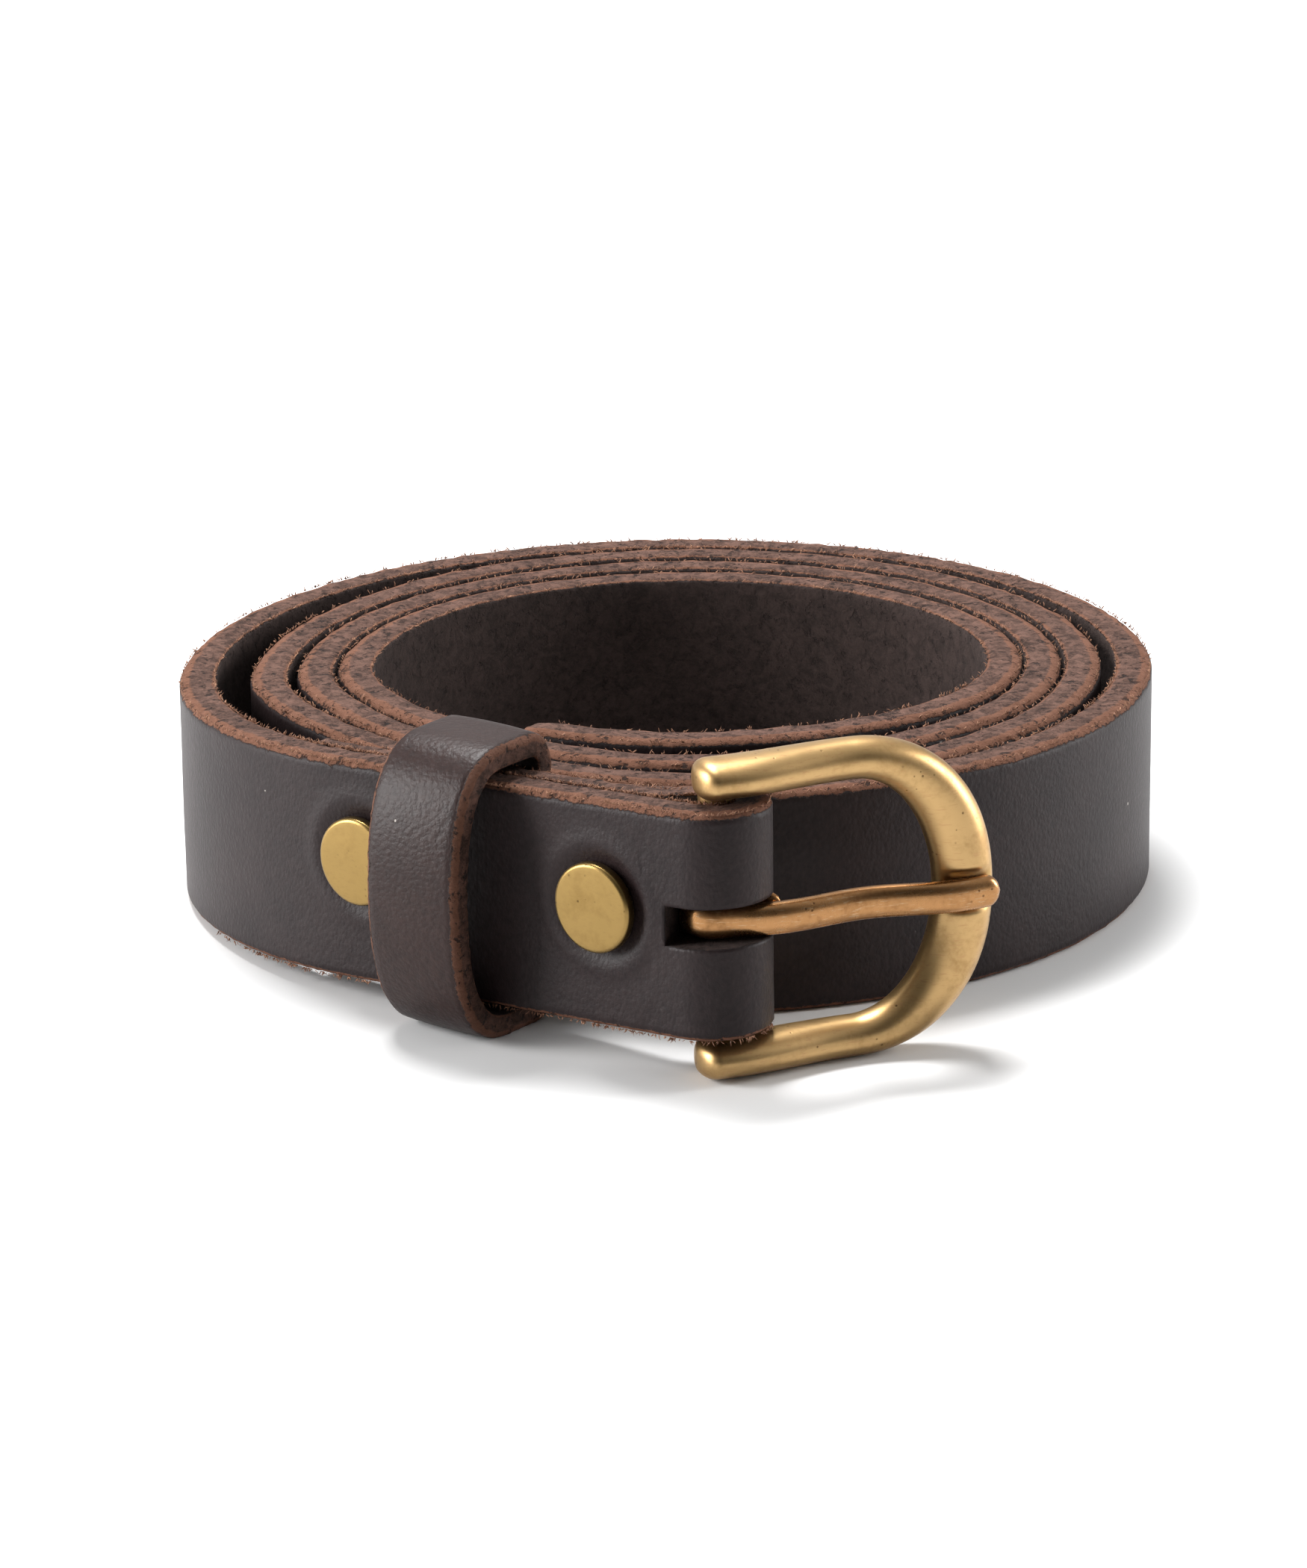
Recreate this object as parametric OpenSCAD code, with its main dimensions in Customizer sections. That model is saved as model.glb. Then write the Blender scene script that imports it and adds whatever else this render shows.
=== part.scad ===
// Leather belt, coiled on its edge, with a heel-bar buckle at the front.
// Millimetres. +Z is up, +Y points away from the buckle, the belt stands on z = 0.

/* [Strap] */
// Width of the strap, which is its height when the coil stands on its edge
strap_w = 25; // [20:0.5:30]
// Thickness of the leather
strap_t = 4.2; // [3:0.1:4.2]
// Thickness of the skived turn-back at its end
turnback_end_t = 1.8; // [1:0.1:2]
// Length of the turn-back, measured from the heel bar
turnback_len = 54; // [50:1:56]
// Length of the tapered point of the tail
point_len = 11; // [6:0.5:14]
// Diameter of the punched holes
hole_d = 4; // [3:0.1:4.4]

/* [Coil] */
// Reach of the grain side to the left of the coil centre, turn by turn
left_r = [57.4, 49.3, 44.1, 39.5]; // [38:0.1:60]
// Reach of the grain side to the back, turn by turn
back_r = [52, 47.4, 42.1, 36.9]; // [36:0.1:56]
// Reach of the grain side to the right, turn by turn
right_r = [54, 48.2, 43.7, 39.3]; // [38:0.1:58]
// Reach of the grain side to the front, turn by turn
front_r = [53, 48.2, 41.6, 33.3]; // [33:0.1:55]
// Reach to the left that the tail is heading for
tail_r = 34; // [33:0.1:35]
// Where each turn is widest on the left, along Y
left_y = [-3.8, -6, -4, -3]; // [-8:0.1:0]
// Where each turn is widest on the right, along Y
right_y = -1; // [-3:0.1:1]
// Roundness of each turn between front and left, where 2 is an ellipse
flatness = [1.6, 1.64, 1.66, 1.8]; // [1.6:0.01:1.8]

/* [Buckle end] */
// Angle of the straight buckle end to the X axis
lead_angle = 38; // [34:0.5:40]
// Length of its straight stretch, up to the heel bar
lead_len = 45.9; // [44:0.1:48]
// Distance from the heel bar to the slot's end on the grain side
slot_end = 2.1; // [1:0.1:3]
// Height of that slot
slot_h = 4.4; // [4:0.1:5]

/* [Buckle] */
// Diameter of the heel bar
bar_d = 3.6; // [3:0.1:3.6]
// Angle of the buckle to the X axis, as it lies
buckle_angle = 18; // [10:1:22]
// Overall height of the frame
frame_h = 35; // [34:0.5:36]
// Height of the frame's opening
opening_h = 26; // [25.9:0.1:27]
// Reach of the frame from the heel bar to the outside of the rim
frame_reach = 30.6; // [28:0.1:33]
// Width of the rim where the prong lies on it
rim_w = 6.5; // [5:0.1:7]
// Thickness of the frame
frame_t = 4.6; // [4:0.1:5]
// Height of the prong
prong_h = 3.2; // [2.8:0.1:3.4]

/* [Keeper] */
// Width of the keeper loop along the strap
keeper_w = 12.3; // [9:0.1:13]
// Thickness of the keeper's leather
keeper_t = 2.6; // [2:0.1:2.6]
// Free gap between the strap and the front of the keeper
keeper_gap = 4.8; // [4.4:0.1:5.5]
// Distance from the heel bar to the middle of the keeper
keeper_at = 30.4; // [29:0.1:31]

/* [Fasteners] */
// Distance from the heel bar to each fastener
post_at = [10.8, 43.3]; // [10:0.1:44]
// Height of each fastener above the middle of the strap
post_rise = [1, 1.6]; // [0:0.1:2]
// Diameter of the heads
head_d = 9.8; // [9:0.1:10]
// Thickness of the heads
head_t = 1.4; // [1:0.1:1.4]
// Diameter of the posts
post_d = 5; // [4.5:0.1:5]
// Diameter of the screws' threads
thread_d = 3.3; // [3:0.1:3.5]

/* [Hidden] */
$fn = 64;

brown = [0.2, 0.13, 0.11];
brass = [0.66, 0.5, 0.25];

steps = 18;             // points in each quarter turn
running = 0.06;         // radial clearance of a turning fit
layer_gap = 0.1;        // between the strap and its turn-back
bar_r = bar_d / 2;
fold_r = bar_r + strap_t;
along = [cos(lead_angle), -sin(lead_angle)];
inward = [sin(lead_angle), cos(lead_angle)];

// The outer turn leaves the coil on this arc and runs on straight to the heel bar.
arc_r = 53.3;
arc_c = [arc_r - left_r[0], left_y[0]];
arc_end = arc_c - arc_r * inward;
heel_foot = arc_end + lead_len * along;
heel = heel_foot + fold_r * inward;

// The buckle end climbs evenly from the floor, so that the buckle just clears it.
climb_from = -39.6;
climb_rate = (frame_h - strap_w) / 2 / (heel * along - climb_from);
mid_z = frame_h / 2;

// The point midway between the outermost reaches becomes the origin.
centre = [(right_r[0] - left_r[0]) / 2, (back_r[0] + heel[1] - fold_r) / 2];

// Lowest edge of the buckle end at distance s from the heel bar.
function lift(s) = (heel * along - s - climb_from) * climb_rate;

function direction(v) = v / norm(v);
function side_normal(v) = [v[1], -v[0]];

// Points of a rounded quarter, from its side extreme at 0 to its other extreme at 90.
function quarter_point(side, end, y0, power, angle) =
    [side * pow(cos(angle), 2 / power), y0 + (end - y0) * pow(sin(angle), 2 / power)];

// The quarters run left to back, back to right, right to front, front to left.
function side_reach(q) =
    (q % 4 == 1 || q % 4 == 2) ? right_r[floor(q / 4)]
    : q == 15 ? -tail_r
    : -left_r[floor((q + 1) / 4)];
function side_y(q) =
    (q % 4 == 1 || q % 4 == 2) ? right_y : left_y[min(3, floor((q + 1) / 4))];
function end_reach(q) = q % 4 < 2 ? back_r[floor(q / 4)] : -front_r[floor(q / 4)];
function power_of(q) = q % 4 == 3 ? flatness[floor(q / 4)] : 2;
function coil_point(q, angle) =
    quarter_point(side_reach(q), end_reach(q), side_y(q), power_of(q), q % 2 == 0 ? angle : 90 - angle);

// Grain side of the coil between two quarters.
function coil_points(first, last) =
    [for (q = [first : last], i = [0 : steps - 1]) coil_point(q, i * 90 / steps)];

// The flesh side, a leather thickness to the right of the way the line runs.
// The line leaves its first point in the direction given.
function flesh_points(line, first) =
    let (n = len(line) - 1)
    [for (i = [0 : n])
        let (way = i == 0 ? first : direction(line[min(n, i + 1)] - line[i - 1]))
        line[i] + strap_t * side_normal(way)];

function reversed(line) = [for (i = [len(line) - 1 : -1 : 0]) line[i]];

// A point s before the heel bar and depth behind the grain side of the buckle end.
function lead_point(s, depth) =
    s < lead_len ? heel_foot - s * along + depth * inward
    : let (a = 270 - lead_angle - (s - lead_len) / arc_r * 180 / PI)
      arc_c + (arc_r - depth) * [cos(a), sin(a)];
lead_total = lead_len + arc_r * (90 - lead_angle) * PI / 180;

// Depth of the turn-back's flesh side, and its thickness, at distance s.
wedge_len = 8;
function turnback_depth(s) =
    strap_t + layer_gap + (s < wedge_len ? (bar_d - layer_gap) * (1 + cos(180 * s / wedge_len)) / 2 : 0);
skive_t = 3;
skive_from = 5;
function turnback_t(s) =
    s < skive_from ? strap_t - (strap_t - skive_t) * s / skive_from
    : skive_t - (skive_t - turnback_end_t) * (s - skive_from) / (turnback_len - skive_from);
function stack_t(s) = turnback_depth(s) + turnback_t(s);

module placed() {
    translate([-centre[0], -centre[1], 0])
        children();
}

// Local frame on the grain side, X towards the buckle, Y into the leather.
module on_lead(s) {
    p = lead_point(s, 0);
    translate([p[0], p[1], 0])
        rotate([0, 0, -lead_angle])
            children();
}

// Local frame on the heel bar at mid height, X towards the rim, -Y to the front.
module on_buckle() {
    translate([heel[0], heel[1], mid_z])
        rotate([0, 0, buckle_angle])
            children();
}

function post_z(i) = lift(post_at[i]) + strap_w / 2 + post_rise[i];

// Slab that gives the buckle end its slanted edges.
module climbing_slab() {
    far = 90;
    top = (far - climb_from) * climb_rate;
    rotate([0, 0, -lead_angle])
        rotate([90, 0, 0])
            linear_extrude(height = 3 * far, center = true)
                polygon([[-far, 0], [climb_from, 0], [far, top], [far, top + strap_w],
                         [climb_from, strap_w], [-far, strap_w]]);
}

// The fold reaches this far into the straight leather that it joins.
fold_overlap = 0.3;
module lead_plan() {
    arc_step = (lead_total - lead_len) / 16;
    grain = [lead_point(0, 0), for (i = [0 : 16]) lead_point(lead_len + i * arc_step, 0)];
    flesh = [lead_point(0, strap_t), for (i = [0 : 16]) lead_point(lead_len + i * arc_step, strap_t)];
    polygon(concat(grain, reversed(flesh)));
    turnback_step = turnback_len / 27;
    inner = [for (i = [0 : 27]) lead_point(i * turnback_step, turnback_depth(i * turnback_step))];
    outer = [for (i = [0 : 27]) lead_point(i * turnback_step, stack_t(i * turnback_step))];
    polygon(concat(inner, reversed(outer)));
    intersection() {
        translate(heel)
            circle(r = fold_r);
        translate(heel)
            rotate(-lead_angle)
                translate([-fold_overlap, -2 * fold_r])
                    square(4 * fold_r);
    }
}

// Slot through the fold, its end walls sloping to clear the prong's loop. Each fastener has a hole and, at the
// back, a flat seat that its screw head has pressed into the leather.
module strap_cuts() {
    far = 3 * fold_r;
    clear_x = loop_r + 0.3;
    translate([heel[0], heel[1], mid_z])
        rotate([0, 0, -lead_angle])
            linear_extrude(height = slot_h, center = true)
                polygon([[-slot_end, -far], [-slot_end, -fold_r], [0.6 - clear_x, -bar_r], [-clear_x, 0],
                         [-clear_x, bar_r], [-slot_end, fold_r + 0.5], [-slot_end, far], [far, far],
                         [far, -far]]);
    translate([heel[0], heel[1], -1])
        cylinder(r = bar_r + running, h = frame_h + 2);
    for (i = [0, 1])
        let (s = post_at[i])
        on_lead(s)
            translate([0, -1, post_z(i)])
                rotate([-90, 0, 0]) {
                    cylinder(d = post_d + 2 * running, h = stack_t(s) + 2);
                    translate([0, 0, stack_t(s) + 1])
                        cylinder(d = head_d + 2 * running, h = 3);
                }
}

// Hole for the prong, through the leather of the innermost turn.
hole_angles = [85, 55.5, 23];
module punched_hole(angle) {
    p = coil_point(14, angle);
    way = coil_point(14, angle + 1) - coil_point(14, angle - 1);
    translate([p[0], p[1], strap_w / 2])
        rotate([0, 0, atan2(-way[0], way[1])])
            rotate([0, 90, 0])
                translate([0, 0, -0.15])
                    cylinder(d = hole_d, h = strap_t + 1);
}

// The tail narrows evenly to a blunt point.
tail_step = 4.6;
module tail() {
    line = [for (i = [0 : 12]) coil_point(15, i * tail_step)];
    end_x = line[12][0];
    blunt = 5;
    intersection() {
        linear_extrude(height = strap_w)
            polygon(concat(line, reversed(flesh_points(line, [-1, 0]))));
        rotate([90, 0, 0])
            linear_extrude(height = 60)
                polygon([[1, 0], [1, strap_w], [end_x + point_len, strap_w],
                         [end_x, (strap_w + blunt) / 2], [end_x, (strap_w - blunt) / 2],
                         [end_x + point_len, 0]]);
    }
}

module strap() {
    coil = concat(coil_points(0, 14), [for (i = [0 : 2]) coil_point(15, i * tail_step)]);
    color(brown)
        placed() {
            difference() {
                linear_extrude(height = strap_w)
                    polygon(concat(coil, reversed(flesh_points(coil, [0, 1]))));
                for (angle = hole_angles)
                    punched_hole(angle);
            }
            tail();
            difference() {
                intersection() {
                    linear_extrude(height = 2 * strap_w)
                        lead_plan();
                    climbing_slab();
                }
                strap_cuts();
            }
        }
}

// Half of the frame's outline: legs that flare a little, then a round end.
leg_end = -2.8;
leg_end_h = 16.5;
round_from = 15;
outline_power = 2.2;
function outline(half_h, reach, power) =
    [for (i = [0 : 32])
        let (a = 90 - i * 180 / 32)
        [round_from + (reach - round_from) * pow(abs(cos(a)), 2 / power),
         half_h * sign(sin(a)) * pow(abs(sin(a)), 2 / power)]];

module frame_plan() {
    inner_h = opening_h / 2;
    difference() {
        polygon(concat([[leg_end, leg_end_h - 1], [leg_end + 1, leg_end_h]],
                       outline(frame_h / 2, frame_reach, outline_power),
                       [[leg_end + 1, -leg_end_h], [leg_end, 1 - leg_end_h]]));
        polygon(concat([[leg_end - 1, inner_h]],
                       outline(inner_h, frame_reach - rim_w, 2),
                       [[leg_end - 1, -inner_h]]));
    }
}

notch_y = 1.5;
module buckle_frame() {
    color(brass)
        placed()
            on_buckle() {
                difference() {
                    rotate([90, 0, 0])
                        linear_extrude(height = frame_t, center = true)
                            frame_plan();
                    translate([frame_reach - 2 * rim_w, -frame_t, -prong_h / 2 - 0.2])
                        cube([3 * rim_w, frame_t - notch_y, prong_h + 0.4]);
                }
                cylinder(r = bar_r, h = opening_h + 2, center = true);
            }
}

// The prong bows out past the fold, dips between the legs and rises to the rim.
prong_t = 2.5;
loop_r = 3.8;
root_y = bar_r + running + prong_t / 2;
function eased(a, b, t) = a + (b - a) * (1 - cos(180 * t)) / 2;
function prong_y(x) =
    x < 6 ? -eased(root_y, 3.45, x / 6)
    : x < 16 ? -eased(3.45, 2.15, (x - 6) / 10)
    : x < 25 ? -eased(2.15, 3.3, (x - 16) / 9)
    : -eased(3.3, 2.8, (x - 25) / 6);

module prong() {
    tip_x = frame_reach - 0.8;
    stations = [for (i = [0 : 24]) i * tip_x / 24];
    half = [for (x = stations) prong_t / 2 * (1 - 0.12 * x / tip_x)];
    front = [for (i = [0 : 24]) [stations[i], prong_y(stations[i]) - half[i]]];
    rear = [for (i = [0 : 24]) [stations[i], prong_y(stations[i]) + half[i]]];
    color(brass)
        placed()
            on_buckle()
                difference() {
                    union() {
                        linear_extrude(height = prong_h, center = true)
                            polygon(concat(front, reversed(rear)));
                        translate([tip_x, prong_y(tip_x), 0])
                            cylinder(r = half[24], h = prong_h, center = true);
                        cylinder(r = loop_r, h = prong_h, center = true);
                        translate([0, -root_y, 0])
                            cylinder(d = prong_t, h = prong_h, center = true);
                    }
                    cylinder(r = bar_r + running, h = 2 * prong_h, center = true);
                }
}

// Keeper loop across the strap: flat behind the turn-back, bowed out at the front.
keeper_in = stack_t(18) + 0.12;
keeper_inner_h = 27.3;
keeper_mid_z = keeper_inner_h / 2 + keeper_t;
bow_from = 1.8;
function keeper_outline(grow) =
    let (half_h = keeper_inner_h / 2 + grow,
         bow = bow_from + keeper_gap + grow,
         corner = 1 + grow,
         rear = keeper_in + grow,
         bow_power = 2.9)
    concat([for (i = [0 : 32])
                let (a = 90 - i * 180 / 32)
                [bow_from - bow * pow(abs(cos(a)), 2 / bow_power),
                 half_h * sign(sin(a)) * pow(abs(sin(a)), 2 / bow_power)]],
           [for (i = [0 : 6])
                [rear - corner + corner * sin(i * 15), -half_h + corner - corner * cos(i * 15)]],
           [for (i = [6 : -1 : 0])
                [rear - corner + corner * sin(i * 15), half_h - corner + corner * cos(i * 15)]]);

staple_wire = 0.7;
staple_span = 5.4;
staple_x = 3;
crown_y = keeper_in + keeper_t - staple_wire / 2;

module on_keeper() {
    placed()
        on_lead(keeper_at)
            translate([0, 0, keeper_mid_z])
                children();
}

module keeper() {
    color(brown)
        on_keeper()
            difference() {
                rotate([90, 0, 90])
                    linear_extrude(height = keeper_w, center = true)
                        difference() {
                            polygon(keeper_outline(keeper_t));
                            polygon(keeper_outline(0));
                            // butt joint at the back
                            translate([keeper_in - 1, -0.1])
                                square([keeper_t + 2, 0.2]);
                        }
                for (x = [-staple_x, staple_x])
                    staple_groove(x);
            }
}

// Room in the leather for a staple's two legs and its sunk crown.
module staple_groove(x) {
    wide = staple_wire + 0.04;
    for (z = [-staple_span / 2, staple_span / 2])
        translate([x, keeper_in - 1, z])
            rotate([-90, 0, 0])
                cylinder(d = wide, h = keeper_t + 2);
    translate([x - wide / 2, crown_y - wide / 2, -staple_span / 2])
        cube([wide, 2 * wide, staple_span]);
}

// Wire staple that closes the keeper's joint, crown to the outside.
module staple(x) {
    color("silver")
        on_keeper() {
            for (z = [-staple_span / 2, staple_span / 2])
                translate([x, keeper_in + 0.05, z])
                    rotate([-90, 0, 0])
                        cylinder(d = staple_wire, h = keeper_t - 0.1);
            translate([x - staple_wire / 2, crown_y - staple_wire / 2, -staple_span / 2])
                cube([staple_wire, staple_wire - 0.05, staple_span]);
        }
}

// Head with a slightly domed face and an eased rim, from z = 0 outwards.
module head() {
    r = head_d / 2;
    rotate_extrude()
        polygon([[0, 0], [r - 0.2, 0], [r, 0.3], [r, 0.7 * head_t], [r - 0.35, 0.92 * head_t],
                 [r / 2, head_t], [0, head_t]]);
}

module on_post(i) {
    placed()
        on_lead(post_at[i])
            translate([0, 0, post_z(i)])
                rotate([-90, 0, 0])
                    children();
}

// Post with its head on the grain side and a hole for its screw.
module post(i) {
    s = post_at[i];
    color(brass)
        on_post(i)
            difference() {
                union() {
                    mirror([0, 0, 1])
                        head();
                    cylinder(d = post_d, h = stack_t(s) - 0.2);
                }
                translate([0, 0, 0.6])
                    cylinder(d = thread_d + 0.1, h = stack_t(s));
            }
}

// Slotted screw that closes the post from the back.
module post_screw(i) {
    s = post_at[i];
    slot_w = 1;
    slot_deep = 0.7;
    color(brass)
        on_post(i)
            difference() {
                union() {
                    translate([0, 0, stack_t(s)])
                        head();
                    translate([0, 0, 1.4])
                        cylinder(d = thread_d, h = stack_t(s) - 1);
                }
                translate([-head_d, -slot_w / 2, stack_t(s) + head_t - slot_deep])
                    cube([2 * head_d, slot_w, head_t]);
            }
}

strap();
buckle_frame();
prong();
keeper();
staple(-staple_x);  // left_staple
staple(staple_x);  // right_staple
post(0);  // buckle_post
post_screw(0);  // buckle_post_screw
post(1);  // coil_post
post_screw(1);  // coil_post_screw
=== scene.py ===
# A leather belt coiled on its edge, with its buckle end at the front.
import math

import bmesh
import bpy
import numpy as np
from mathutils import Matrix, Vector, noise


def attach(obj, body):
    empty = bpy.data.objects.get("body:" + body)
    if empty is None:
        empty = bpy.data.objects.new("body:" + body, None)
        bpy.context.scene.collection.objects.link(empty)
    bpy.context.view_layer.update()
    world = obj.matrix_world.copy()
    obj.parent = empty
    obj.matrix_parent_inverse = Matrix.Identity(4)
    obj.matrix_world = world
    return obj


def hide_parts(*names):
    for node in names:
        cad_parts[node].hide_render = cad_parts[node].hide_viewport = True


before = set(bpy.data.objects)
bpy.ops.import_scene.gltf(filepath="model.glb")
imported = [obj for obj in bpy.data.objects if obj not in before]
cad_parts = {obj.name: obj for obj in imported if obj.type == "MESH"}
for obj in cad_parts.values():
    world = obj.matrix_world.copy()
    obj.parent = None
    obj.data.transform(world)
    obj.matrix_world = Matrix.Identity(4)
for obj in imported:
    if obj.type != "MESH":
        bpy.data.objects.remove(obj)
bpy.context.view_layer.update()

MM = 0.001
ROW_SHIFT = np.array([1.7, 11.6659, 0.0])   # from the coil's own centre to the frame's origin


def to_row(points):
    """Millimetres about the coil's centre to metres in the frame."""
    return (np.asarray(points, float) + ROW_SHIFT) * MM


# ---- camera
ELEVATION = 0.309369
DISTANCE = 649.975
AIM = (-3.3626, 0.0, 9.5272)
ROLL = -0.0119968
SENSOR = 36.0
LENS = SENSOR * 25 / 7

camera_data = bpy.data.cameras.new("camera")
camera_data.sensor_width = SENSOR
camera_data.lens = LENS
camera_data.clip_start = 0.01
camera_data.clip_end = 20.0
camera = bpy.data.objects.new("camera", camera_data)
bpy.context.collection.objects.link(camera)
eye = to_row((AIM[0], -DISTANCE * math.cos(ELEVATION), AIM[2] + DISTANCE * math.sin(ELEVATION)))
turn = Matrix.Rotation(math.pi / 2 - ELEVATION, 4, "X") @ Matrix.Rotation(ROLL, 4, "Z")
camera.matrix_world = Matrix.Translation(Vector(eye)) @ turn
bpy.context.scene.camera = camera


# ---- mesh helpers
def make_piece(name, verts_mm, faces, body, replaced, material, uvs=None, masks=None):
    """A closed mesh in the frame, with its masks as attributes and one UV map."""
    mesh = bpy.data.meshes.new(name)
    mesh.from_pydata([tuple(v) for v in to_row(verts_mm)], [], faces)
    mesh.validate()
    mesh.polygons.foreach_set("use_smooth", [True] * len(mesh.polygons))
    for mask, values in (masks or {}).items():
        layer = mesh.attributes.new(mask, "FLOAT", "POINT")
        layer.data.foreach_set("value", np.asarray(values, float))
    if uvs is not None:
        layer = mesh.uv_layers.new(name="surface")
        loops = np.zeros(len(mesh.loops), int)
        mesh.loops.foreach_get("vertex_index", loops)
        layer.data.foreach_set("uv", np.asarray(uvs, float)[loops].ravel())
    mesh.materials.append(material)
    piece = bpy.data.objects.new(name, mesh)
    bpy.context.collection.objects.link(piece)
    fix_normals(piece)
    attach(piece, body)
    if replaced:
        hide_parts(*replaced)
    return piece


def fix_normals(piece):
    """Drops corners that no face uses and turns every face outwards."""
    work = bmesh.new()
    work.from_mesh(piece.data)
    bmesh.ops.delete(work, geom=[v for v in work.verts if not v.link_faces], context="VERTS")
    bmesh.ops.recalc_face_normals(work, faces=work.faces)
    work.to_mesh(piece.data)
    work.free()


def rough(point, size, seed):
    """Smooth noise from -1 to 1 with features of the given size, in millimetres."""
    return noise.noise(Vector((point[0] / size + seed, point[1] / size - seed, point[2] / size)))


def eased(a, b, t):
    """From a to b as t goes from 0 to 1, starting and stopping gently."""
    t = np.clip(t, 0.0, 1.0)
    return a + (b - a) * (1 - np.cos(np.pi * t)) / 2


def unit(v):
    """The vector's direction, with length 1."""
    return v / np.linalg.norm(v)


def squared(value, power):
    """Coordinate of a rounded square: a circle at power 2, squarer above it."""
    return math.copysign(abs(value) ** (2 / power), value)


def circle(count):
    """Cosine and sine of evenly spaced angles."""
    angles = [2 * math.pi * i / count for i in range(count)]
    return [(math.cos(a), math.sin(a)) for a in angles]


def quad(around, k, j):
    """Four corners of cell j of the tube between ring k and the next."""
    after = (j + 1) % around
    return k * around + j, k * around + after, (k + 1) * around + after, (k + 1) * around + j


# ---- where the strap runs
STRAP_W = 25.0
STRAP_T = 4.2
LEFT_R = (57.4, 49.3, 44.1, 39.5)
BACK_R = (52.0, 47.4, 42.1, 36.9)
RIGHT_R = (54.0, 48.2, 43.7, 39.3)
FRONT_R = (53.0, 48.2, 41.6, 33.3)
LEFT_Y = (-3.8, -6.0, -4.0, -3.0)
RIGHT_Y = -1.0
TAIL_R = 34.0
FLATNESS = (1.6, 1.64, 1.66, 1.8)
LAST_QUARTER = 15
TAIL_ANGLE = 55.2

LEAD_ANGLE = math.radians(38)
LEAD_LEN = 45.9
ARC_R = 53.3
BAR_R = 1.8
FOLD_R = 6.0
BORE_R = 1.86
along = np.array([math.cos(LEAD_ANGLE), -math.sin(LEAD_ANGLE)])
inward = np.array([math.sin(LEAD_ANGLE), math.cos(LEAD_ANGLE)])
arc_c = np.array([ARC_R - LEFT_R[0], LEFT_Y[0]])
heel_foot = arc_c - ARC_R * inward + LEAD_LEN * along
heel = heel_foot + FOLD_R * inward
LEAD_TOTAL = LEAD_LEN + ARC_R * (math.pi / 2 - LEAD_ANGLE)
CLIMB_FROM = -39.6
CLIMB_RATE = 5.0 / (heel @ along - CLIMB_FROM)
MID_Z = 17.5
TURNBACK_LEN = 54.0
WEDGE_LEN = 8.0


def lift_at(point):
    """How far the strap's lower edge stands off the floor."""
    rise = (point[..., 0] * along[0] + point[..., 1] * along[1] - CLIMB_FROM) * CLIMB_RATE
    soft = 0.12
    return (rise + np.sqrt(rise * rise + soft * soft)) / 2


def lead_point(s, depth):
    """A point s before the heel bar, this deep behind the grain face."""
    if s < LEAD_LEN:
        return heel_foot - s * along + depth * inward
    a = 1.5 * math.pi - LEAD_ANGLE - (s - LEAD_LEN) / ARC_R
    return arc_c + (ARC_R - depth) * np.array([math.cos(a), math.sin(a)])


WEDGE_OPEN = 3.5
LAYER_GAP = 0.1
SKIVE_FROM, SKIVE_T, SKIVE_LOSS = 5.0, 3.0, 1.2


def turnback_depth(s):
    """Where the turned-back layer begins: it opens into a wedge at the fold."""
    wedge = WEDGE_OPEN * (1 + math.cos(math.pi * s / WEDGE_LEN)) / 2 if s < WEDGE_LEN else 0.0
    return STRAP_T + LAYER_GAP + wedge


def turnback_t(s):
    """Thickness of the turned-back layer, thinned towards its end."""
    if s < SKIVE_FROM:
        return STRAP_T - SKIVE_LOSS * s / SKIVE_FROM
    return SKIVE_T - SKIVE_LOSS * (s - SKIVE_FROM) / (TURNBACK_LEN - SKIVE_FROM)


def quarter_point(q, angle):
    """A point of the grain side on quarter turn q of the coil."""
    turns = q // 4
    power = FLATNESS[turns] if q % 4 == 3 else 2.0
    if q % 4 in (1, 2):
        side, y0 = RIGHT_R[turns], RIGHT_Y
    else:
        left = (q + 1) // 4
        side = -TAIL_R if q == LAST_QUARTER else -LEFT_R[left]
        y0 = LEFT_Y[min(3, left)]
    end = BACK_R[turns] if q % 4 < 2 else -FRONT_R[turns]
    if q % 2:
        angle = 90 - angle
    c = max(math.cos(math.radians(angle)), 0.0)
    s = max(math.sin(math.radians(angle)), 0.0)
    return np.array([side * c ** (2 / power), y0 + (end - y0) * s ** (2 / power)])


def grain_fold(a):
    """Grain side at length a from the middle of the fold, towards the coil."""
    half = FOLD_R * math.pi / 2
    if abs(a) < half:
        return heel + FOLD_R * (math.cos(a / FOLD_R) * along - math.sin(a / FOLD_R) * inward)
    s = abs(a) - half
    if a > 0:
        return lead_point(s, 0.0)
    return lead_point(s, turnback_depth(s) + turnback_t(s))


def flesh_fold(a):
    """Flesh side at length a from the middle of the fold, round the heel bar's bore."""
    half = BORE_R * math.pi / 2
    if abs(a) < half:
        return heel + BORE_R * (math.cos(a / BORE_R) * along - math.sin(a / BORE_R) * inward)
    s = abs(a) - half
    return lead_point(s, STRAP_T if a > 0 else turnback_depth(s))


HALF_FOLD = FOLD_R * math.pi / 2
SLOT_END = 2.1
SLOT_END_FLESH = (3.5, 4.1)     # towards the coil, and on the turned-back end
SKEW_LEN = 14.0


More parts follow.
